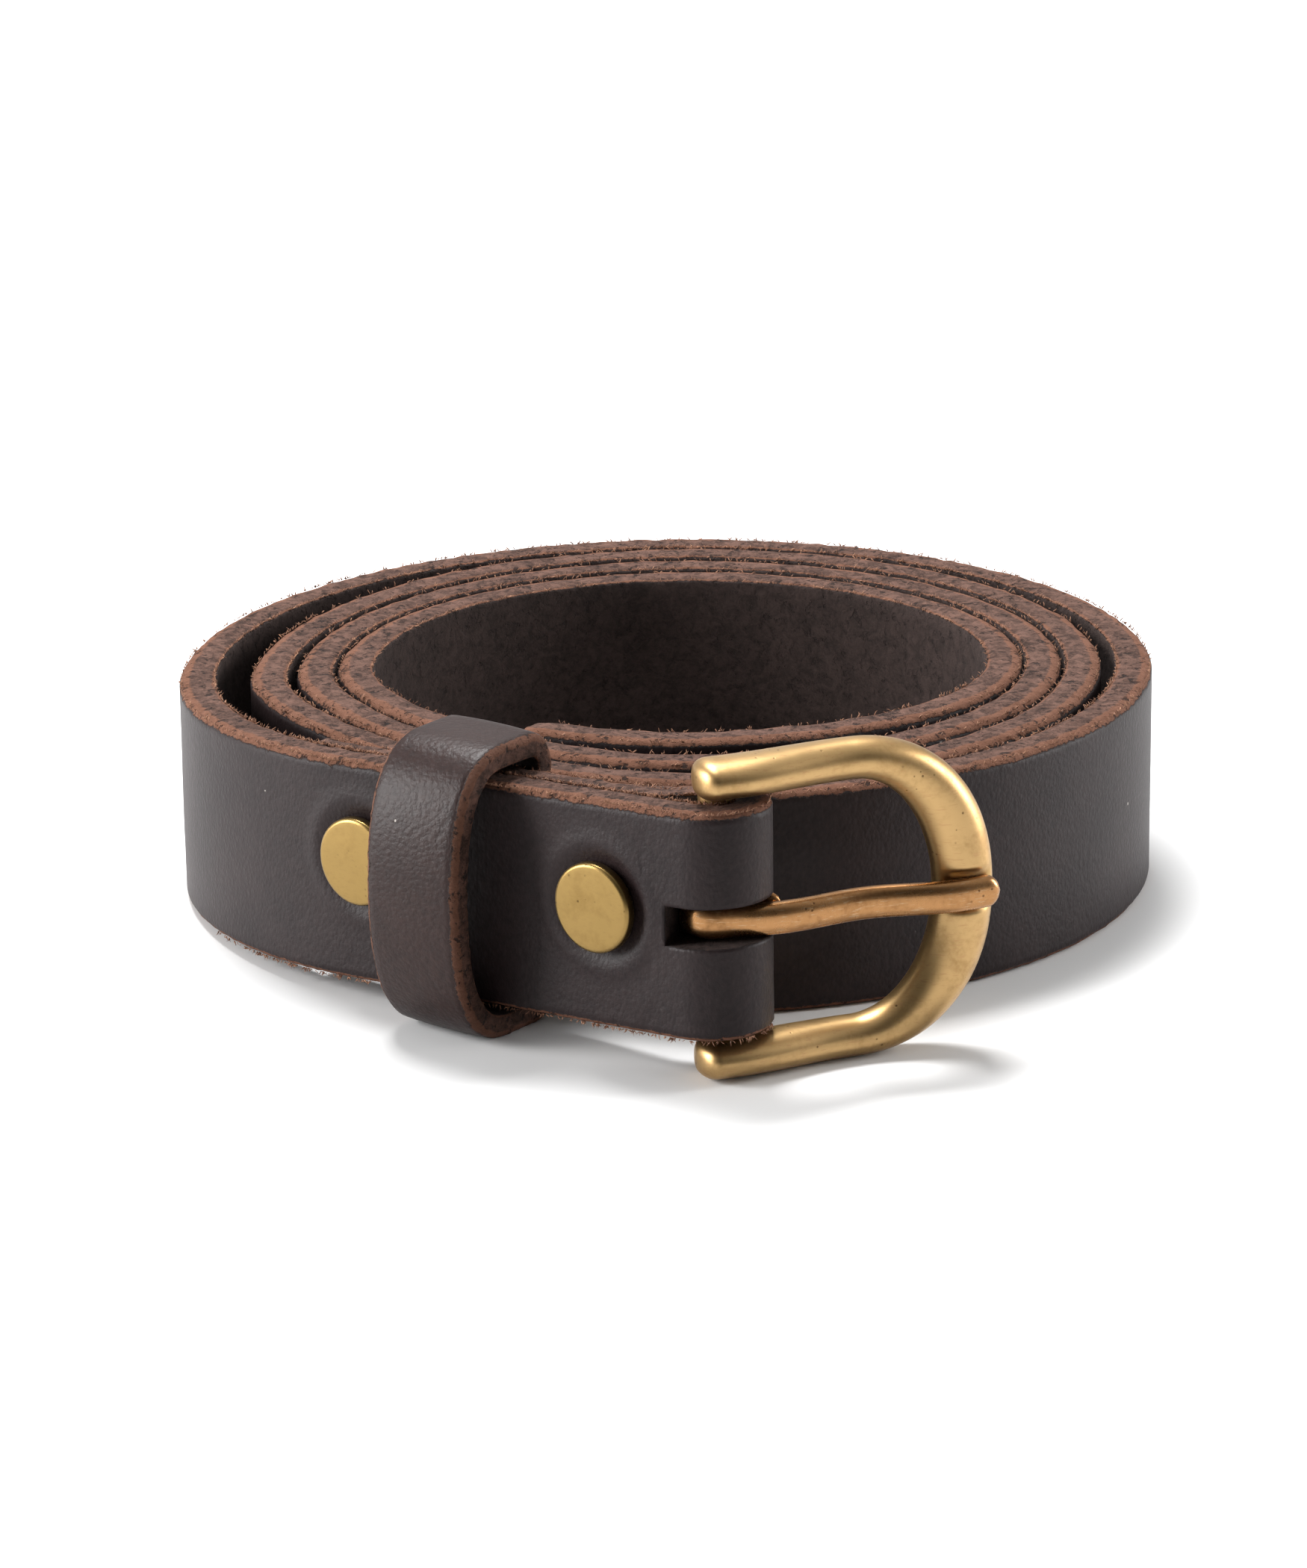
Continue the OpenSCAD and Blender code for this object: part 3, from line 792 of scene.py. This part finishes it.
def punch_holes(piece):
    """Cuts the round holes through the tail."""
    tool = bmesh.new()
    for angle in HOLE_ANGLES:
        at = quarter_point(HOLE_QUARTER, angle)
        way = unit(quarter_point(HOLE_QUARTER, angle + 1) - at)
        through = Vector((way[1], -way[0], 0.0))
        turn = through.to_track_quat("Z", "Y").to_matrix().to_4x4()
        middle = Vector(to_row((at[0], at[1], STRAP_W / 2))) + through * STRAP_T / 2 * MM
        bmesh.ops.create_cone(tool, cap_ends=True, segments=40, radius1=HOLE_D / 2 * MM,
                              radius2=HOLE_D / 2 * MM, depth=(STRAP_T + PUNCH_SPARE) * MM,
                              matrix=Matrix.Translation(middle) @ turn)
    mesh = bpy.data.meshes.new("hole_punch")
    tool.to_mesh(mesh)
    tool.free()
    punch = bpy.data.objects.new("hole_punch", mesh)
    bpy.context.collection.objects.link(punch)
    cut = piece.modifiers.new("holes", "BOOLEAN")
    cut.object = punch
    cut.solver = "EXACT"
    bpy.context.view_layer.update()
    seen = piece.evaluated_get(bpy.context.evaluated_depsgraph_get())
    piece.data = bpy.data.meshes.new_from_object(seen)
    piece.modifiers.clear()
    bpy.data.objects.remove(punch)


strap_piece = build_strap()
punch_holes(strap_piece)


FIBRE_LENGTHS = (0.2, 0.6)
FIBRE_RADII = (0.04, 0.10)
FIBRE_BREAK = 4.0        # edge points further apart than this are not on one edge
FIBRE_ROOT = 0.1
THREE_ROUND = ((1.0, 0.0), (-0.5, 0.87), (-0.5, -0.87))


def build_fibres(name, corners, ups, outs, seed, count):
    """Loose leather fibres that stand off a cut edge, as thin bent spikes."""
    pick = np.random.default_rng(seed)
    verts, faces = [], []
    for _ in range(count):
        i = int(pick.integers(0, len(corners) - 2))
        if np.linalg.norm(corners[i + 1] - corners[i]) > FIBRE_BREAK:
            continue
        t = pick.random()
        root = corners[i] * (1 - t) + corners[i + 1] * t
        run = unit(corners[i + 1] - corners[i])
        lean = ups[i] * pick.uniform(0.2, 1.0) + outs[i] * pick.uniform(-0.5, 0.9)
        lean = unit(lean + run * pick.uniform(-1.0, 1.0))
        side = unit(np.cross(lean, run + 0.3 * ups[i]))
        deep = np.cross(side, lean)
        long = pick.uniform(*FIBRE_LENGTHS)
        wide = pick.uniform(*FIBRE_RADII)
        bend = root + 0.55 * long * lean
        tip = root + long * (lean + 0.5 * pick.uniform(-1, 1) * side)
        base = len(verts)
        for centre, size in ((root - FIBRE_ROOT * lean, wide), (bend, 0.7 * wide)):
            verts += [centre + size * (c * side + s * deep) for c, s in THREE_ROUND]
        verts.append(tip)
        faces += [(base, base + 2, base + 1)]
        for a, b in ((0, 1), (1, 2), (2, 0)):
            faces.append((base + a, base + b, base + 3 + b, base + 3 + a))
            faces.append((base + 3 + a, base + 3 + b, base + 6))
    return make_piece(name, np.array(verts), faces, "strap", None, loose_fibres)


def fibre_material():
    """Pale orange-brown leather fibre."""
    material, tree, shader = new_material("loose fibres")
    at = tree.nodes.new("ShaderNodeTexCoord").outputs["Object"]
    tone = spread(tree, place(tree, FIBRES, at)["Tone"], 0.35, 0.65)
    tree.links.new(mixed(tree, tone, (0.12, 0.05, 0.028), (0.32, 0.16, 0.09)), shader.inputs["Base Color"])
    shader.inputs["Roughness"].default_value = 0.85
    return material


loose_fibres = fibre_material()


LEAST_ROOM = 0.8     # the lower edge grows fibres where it stands this high off the floor
EDGE_IN = 0.15


def edge_points():
    """Points on the upper edge, then on the raised lower edge, taking turns near the grain and the flesh."""
    up = np.array([0.0, 0.0, 1.0])
    stations = strap_stations()
    points = []
    for top in (True, False):
        for g, f, length in stations[::2]:
            if length > stations[-1][2] - TAIL_POINT:
                break
            for share in (0.06, 0.96):
                p = g + share * (f - g)
                raised = lift_at(p) if length < HALF_FOLD + LEAD_TOTAL else 0.0
                if not top and raised < LEAST_ROOM:
                    continue
                corner = np.array([p[0], p[1], raised + (STRAP_W - EDGE_IN if top else EDGE_IN)])
                out = np.array([*unit((g - f) if share < 0.5 else (f - g)), 0.0])
                points.append((corner, up if top else -up, out))
    return points


run = edge_points()
for i, (name, count) in enumerate((("grain_edge_fibres", 2600), ("flesh_edge_fibres", 3600))):
    build_fibres(name, *zip(*run[i::2]), 11 + i, count)


# ---- keeper
KEEPER_W = 12.3
KEEPER_T = 2.6
KEEPER_CROWN = 0.22
KEEPER_STEPS = 150
BUTT_GAP = 0.12
KEEPER_AT = 30.4
KEEPER_BOW = 4.8
BOW_FROM = 1.8
BOW_POWER = 2.45
KEEPER_IN = turnback_depth(18) + turnback_t(18) + 0.12
KEEPER_INNER_H = 27.3
KEEPER_MID = KEEPER_INNER_H / 2 + KEEPER_T


def keeper_line(grow):
    """Outline of the loop in depth and height, from the joint at the back, down, round the front and back."""
    half_h = KEEPER_INNER_H / 2 + grow
    bow = BOW_FROM + KEEPER_BOW + grow
    rear = KEEPER_IN + grow
    corner = 1.0 + grow
    points = [(rear, -half_h * i / 14) for i in range(14) if half_h * i / 14 < half_h - corner]
    points += [(rear - corner + corner * math.cos(a), -half_h + corner - corner * math.sin(a))
               for a in np.linspace(0, math.pi / 2, 10)]
    for a in np.linspace(-90, 90, 73):
        c, s = abs(math.cos(math.radians(a))), math.sin(math.radians(a))
        points.append((BOW_FROM - bow * squared(c, BOW_POWER), half_h * squared(s, BOW_POWER)))
    points += [(rear - corner + corner * math.cos(a), half_h - corner + corner * math.sin(a))
               for a in np.linspace(math.pi / 2, 0, 10)]
    points += [(rear, half_h * i / 14) for i in range(14, 0, -1) if half_h * i / 14 < half_h - corner]
    points.append((rear, 0.0))
    return np.array(points)


def even(line, count):
    """The line through evenly spaced points, and their lengths along it."""
    gaps = np.linalg.norm(np.diff(line, axis=0), axis=1)
    at = np.concatenate([[0], np.cumsum(gaps)])
    want = np.linspace(0, at[-1], count)
    return np.stack([np.interp(want, at, line[:, i]) for i in range(2)], 1), want


def build_keeper():
    """The loop round the strap, its ends butted at the back."""
    mid, _ = even(keeper_line(KEEPER_T / 2), KEEPER_STEPS)
    way = np.gradient(mid, axis=0)
    way /= np.linalg.norm(way, axis=1)[:, None]
    out = np.stack([way[:, 1], -way[:, 0]], 1)
    if (out[0] @ np.array([1.0, 0.0])) < 0:
        out = -out
    _, lengths = even(mid, KEEPER_STEPS)
    ring = ring_rows(KEEPER_W, 18, 9)
    share = np.array([r[0] for r in ring])
    height = np.array([r[1] for r in ring])
    count, around = len(mid), len(ring)
    place_at = heel_foot - KEEPER_AT * along
    verts = np.zeros((count, around, 3))
    for k in range(count):
        crown = np.where(share == 0, KEEPER_CROWN * (1 - (height / (KEEPER_W / 2) - 1) ** 2), 0.0)
        section = mid[k][None] + (KEEPER_T / 2 - share * KEEPER_T + crown)[:, None] * out[k]
        across = height - KEEPER_W / 2
        plan = place_at[None] + section[:, :1] * inward + across[:, None] * along
        verts[k, :, :2] = plan
        verts[k, :, 2] = KEEPER_MID + section[:, 1]
        for j in range(around):
            p = verts[k, j].copy()
            amount = 0.025 * rough((lengths[k], height[j], 0), 6.2, 9.1)
            if 0 < share[j] < 1:
                amount = 0.10 * rough(p, 0.9, 5.1)
                verts[k, j, :2] += 0.14 * rough(p, 1.0, 1.9) * along
            push = amount * out[k]
            verts[k, j, :2] += push[0] * inward
            verts[k, j, 2] = max(verts[k, j, 2] + push[1], 0.0)
    faces = [quad(around, k, j) for k in range(count - 1) for j in range(around)]
    # the butted ends stand a hair apart
    verts[0, :, 2] -= BUTT_GAP / 2
    verts[-1, :, 2] += BUTT_GAP / 2
    faces += end_cap(ring, 0) + end_cap(ring, count - 1)
    uvs = np.zeros((count, around, 2))
    uvs[:, :, 0] = lengths[:, None] * MM
    uvs[:, :, 1] = ((height + share * FLESH_APART) * MM)[None]
    masks = {name: values.ravel() for name, values in ring_masks(ring, count).items()}
    return make_piece("keeper_loop", verts.reshape(-1, 3), faces, "keeper", ["keeper"],
                      keeper_leather, uvs.reshape(-1, 2), masks)


build_keeper()


# ---- buckle
BUCKLE_ANGLE = math.radians(18)
outwards_u = np.array([math.cos(BUCKLE_ANGLE), math.sin(BUCKLE_ANGLE)])
forward_w = np.array([math.sin(BUCKLE_ANGLE), -math.cos(BUCKLE_ANGLE)])
FRAME_REACH = 30.6
RIM_W = 6.5
FRAME_T = 4.6
OUTER_H = 17.5
INNER_H = 13.15
ROUND_FROM = 15.0
LEG_FORWARD = 1.6    # how far the legs stand over the fold
LEG_THICKER = 0.9    # on each side, towards the legs' ends
LEG_FROM = 0.45      # share of the way round where a leg begins
LEG_END = 2.8        # behind the heel bar
NOTCH_HALF, NOTCH_W = 2.05, 1.5   # the prong's seat: half its height, and how far forward its floor is
FRAME_DOME = 0.25
BAR_HALF = 14.6


def buckle_point(u, w, z):
    """From the buckle's own axes, outwards, forwards and up, to the coil's."""
    plan = heel + u * outwards_u + w * forward_w
    return np.array([plan[0], plan[1], MID_Z + z])


def section_sweep(sections, caps=True):
    """Verts and faces of a tube through rings that all have the same count."""
    count, around = len(sections), len(sections[0])
    verts = [p for ring in sections for p in ring]
    faces = [quad(around, k, j) for k in range(count - 1) for j in range(around)]
    if caps:
        for k in (0, count - 1):
            verts.append(np.mean(sections[k], axis=0))
            tip = len(verts) - 1
            faces += [(k * around + j, k * around + (j + 1) % around, tip) for j in range(around)]
    return verts, faces


def frame_outline(t):
    """Outer and inner point of the frame at t from -1, the lower leg's end, to 1."""
    side = 1 if t >= 0 else -1
    t = abs(t)
    if t > LEG_FROM:
        x = (t - LEG_FROM) / (1 - LEG_FROM)
        u = ROUND_FROM * (1 - x) - LEG_END * x
        outer_h = OUTER_H - eased(0.0, 0.15, x)
        return np.array([u, side * outer_h]), np.array([u, side * INNER_H])
    a = math.pi / 2 * t / LEG_FROM
    outer = np.array([ROUND_FROM + (FRAME_REACH - ROUND_FROM) * squared(math.cos(a), 2.2),
                      side * OUTER_H * squared(math.sin(a), 2.2)])
    inner_reach = FRAME_REACH - RIM_W - ROUND_FROM
    inner = np.array([ROUND_FROM + inner_reach * math.cos(a), side * INNER_H * math.sin(a)])
    return outer, inner


def build_frame():
    """The horseshoe, domed on its front, with a notch for the prong, and its heel bar."""
    sections = []
    t_values = np.concatenate([np.linspace(-1, -0.1, 120), np.linspace(-0.1, 0.1, 61)[1:-1],
                               np.linspace(0.1, 1, 120)])
    around = 36
    for t in t_values:
        outer, inner = frame_outline(t)
        middle, half = (outer + inner) / 2, (outer - inner) / 2
        end = (1 - abs(t)) / 0.055
        shrink = math.sqrt(max(1 - max(1 - end, 0) ** 2, 0.0)) if end < 1 else 1.0
        shrink = max(shrink, 0.15)
        over_fold = float(eased(0.0, 1.0, (abs(t) - 0.42) / 0.5))
        thick = FRAME_T / 2 + LEG_THICKER * over_fold
        ring = []
        for c, s in circle(around):
            x = squared(c, 2.35) * (0.35 + 0.65 * shrink)
            w = squared(s, 2.3) * thick * shrink + LEG_FORWARD * over_fold
            if s > 0:
                w += FRAME_DOME * shrink * max(0.0, 1 - (abs(x) / 0.8) ** 2)
            p = middle + half * x
            if s > 0 and abs(p[1]) < 4.0 and p[0] > 20:
                dip = math.exp(-(p[1] / NOTCH_HALF) ** 6)
                w = w * (1 - dip) + min(w, NOTCH_W) * dip
            w += 0.02 * noise.noise(Vector((p[0] / 5, p[1] / 5, w / 5)))
            ring.append(buckle_point(p[0], w, p[1]))
        sections.append(ring)
    verts, faces = section_sweep(sections)
    bar = []
    for z in np.linspace(-BAR_HALF, BAR_HALF, 40):
        bar.append([buckle_point(BAR_R * math.cos(a), BAR_R * math.sin(a), z)
                    for a in np.linspace(0, 2 * math.pi, 32, endpoint=False)])
    bar_verts, bar_faces = section_sweep(bar)
    faces += [tuple(i + len(verts) for i in f) for f in bar_faces]
    verts += bar_verts
    return make_piece("buckle_horseshoe", verts, faces, "buckle", ["buckle_frame"],
                      antique_brass)


build_frame()

PRONG_H = 3.5
PRONG_T = 2.5
LOOP_T = 1.94
LOOP_MID = BORE_R + LOOP_T / 2


# distance from the heel bar, and how far forward the bar's middle runs there
PRONG_BENDS = ((0, BORE_R + PRONG_T / 2), (6, 3.45), (16, 2.15), (25, 3.3), (31, 2.75))


def prong_w(u):
    """How far forward the prong runs at this distance from the heel bar."""
    for (u0, w0), (u1, w1) in zip(PRONG_BENDS, PRONG_BENDS[1:]):
        if u < u1:
            break
    return float(eased(w0, w1, (u - u0) / (u1 - u0)))


def build_prong():
    """Bar of the prong, curled round the heel bar with its short tail tucked behind."""
    line, thick = [], []
    for x in np.linspace(0, 1, 10)[:-1]:
        line.append((7.2 - 4.6 * x, float(eased(0.55, -2.3, x ** 1.1))))
        thick.append(1.25 + 0.5 * x)
    for a in np.linspace(-42, -270, 48):
        r = math.radians(a)
        grow = (-42 - a) / 228
        line.append((LOOP_MID * math.cos(r), LOOP_MID * math.sin(r)))
        thick.append(1.8 + 0.14 * grow)
    tip_u = FRAME_REACH - 0.2
    for u in np.linspace(0.5, tip_u, 90):
        blend_in = min(1.0, u / 3)
        centre = LOOP_MID * (1 - blend_in) + prong_w(u) * blend_in
        line.append((u, centre))
        thick.append(LOOP_T + (PRONG_T - LOOP_T) * blend_in - 0.35 * u / tip_u)
    line = np.array(line)
    way = np.gradient(line, axis=0)
    way /= np.linalg.norm(way, axis=1)[:, None]
    side = np.stack([-way[:, 1], way[:, 0]], 1)
    sections = []
    around = 28
    along_line = np.concatenate([[0], np.cumsum(np.linalg.norm(np.diff(line, axis=0), axis=1))])
    for k in range(len(line)):
        left = min(along_line[k], along_line[-1] - along_line[k])
        shrink = math.sqrt(1 - (1 - min(left / 1.5, 1.0)) ** 2)
        shrink = max(shrink, 0.15)
        ring = []
        for c, s in circle(around):
            off = squared(c, 2.3) * thick[k] / 2 * (0.3 + 0.7 * shrink)
            z = squared(s, 2.5) * PRONG_H / 2 * shrink
            p = line[k] + off * side[k]
            w = p[1] + 0.015 * noise.noise(Vector((p[0] / 4, z / 4, 4.2)))
            ring.append(buckle_point(p[0], w, z))
        sections.append(ring)
    verts, faces = section_sweep(sections)
    return make_piece("prong_bar", verts, faces, "prong", ["prong"], copper_brass)


build_prong()


# ---- fasteners
HEAD_R = 4.9
HEAD_T = 1.4
HEAD_ROUND = 0.45
POST_R = 2.5


def build_head(name, number, node):
    """Flat post head with a softly rounded rim, on its barrel."""
    foot, mid = post_places[number]
    rim = [(HEAD_R - HEAD_ROUND * (1 - math.cos(a)), HEAD_T - HEAD_ROUND * (1 - math.sin(a)))
           for a in np.linspace(0, math.pi / 2, 7)]
    profile = [(POST_R - 0.02, -7.0), (POST_R, -6.8), (POST_R, -0.1)]
    profile += [(HEAD_R - 0.25, -0.1), (HEAD_R, 0.25)] + rim
    profile += [(r, HEAD_T + 0.07 * (1 - (r / 4.4) ** 2)) for r in (4.0, 3.2, 2.4, 1.6, 0.8, 0.25)]
    sections = []
    for r, high in profile:
        ring = []
        for a in np.linspace(0, 2 * math.pi, 72, endpoint=False):
            x, z = r * math.cos(a), r * math.sin(a)
            dent = 0.03 * noise.noise(Vector((x / 2.5, z / 2.5, 7.0 * number)))
            plan = foot + x * along - (high + (dent if r < 4 else 0)) * inward
            ring.append(np.array([plan[0], plan[1], mid + z]))
        sections.append(ring)
    verts, faces = section_sweep(sections)
    return make_piece(name, verts, faces, "strap", [node], post_brass)


build_head("buckle_post_head", 0, "buckle_post")
build_head("coil_post_head", 1, "coil_post")
for node, material in (("buckle_post_screw", post_brass), ("coil_post_screw", post_brass),
                       ("left_staple", staple_steel), ("right_staple", staple_steel)):
    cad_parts[node].data.materials.clear()
    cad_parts[node].data.materials.append(material)


# ---- floor and light
def floor_plane():
    """A pale matt floor that the belt stands on."""
    mesh = bpy.data.meshes.new("floor")
    size = 6.0
    corners = [(-size, -size, 0), (size, -size, 0), (size, size, 0), (-size, size, 0)]
    mesh.from_pydata(corners, [], [(0, 1, 2, 3)])
    material, _, shader = new_material("white floor")
    shader.inputs["Base Color"].default_value = (0.70, 0.70, 0.70, 1)
    shader.inputs["Roughness"].default_value = 0.7
    shader.inputs["Specular IOR Level"].default_value = 0.2
    mesh.materials.append(material)
    floor = bpy.data.objects.new("floor", mesh)
    bpy.context.collection.objects.link(floor)


def area_light(name, position, target, size, power):
    """A rectangular white softbox aimed at the target."""
    data = bpy.data.lights.new(name, "AREA")
    data.shape = "RECTANGLE"
    data.size, data.size_y = size
    data.energy = power
    light = bpy.data.objects.new(name, data)
    bpy.context.collection.objects.link(light)
    light.location = position
    light.rotation_euler = (Vector(target) - Vector(position)).to_track_quat("-Z", "Y").to_euler()


def studio_light(tree):
    """Pale walls behind and beside the belt, a dim room in front, and a plain white backdrop."""
    background = tree.nodes["Background"]
    way = tree.nodes.new("ShaderNodeTexCoord").outputs["Generated"]
    parts = tree.nodes.new("ShaderNodeSeparateXYZ")
    tree.links.new(way, parts.inputs[0])
    room = spread(tree, parts.outputs["Y"], -0.75, 0.1, 0.10, 0.72)
    seen = tree.nodes.new("ShaderNodeLightPath").outputs["Is Camera Ray"]
    tree.links.new(math_node(tree, "MAXIMUM", room, seen), background.inputs["Strength"])
    background.inputs["Color"].default_value = (1, 1, 1, 1)


floor_plane()
world = bpy.data.worlds.new("studio")
world.use_nodes = True
studio_light(world.node_tree)
bpy.context.scene.world = world
bpy.context.scene.view_settings.view_transform = "Standard"
area_light("top_softbox", (-0.12, 0.34, 0.90), (0, 0, 0), (0.40, 0.3), 15.0)
area_light("left_strip", (-0.85, -0.10, 0.3), (0, 0, 0.02), (0.3, 0.6), 13.0)
area_light("right_strip", (0.95, 0.15, 0.3), (0, 0, 0.02), (0.3, 0.6), 9.0)
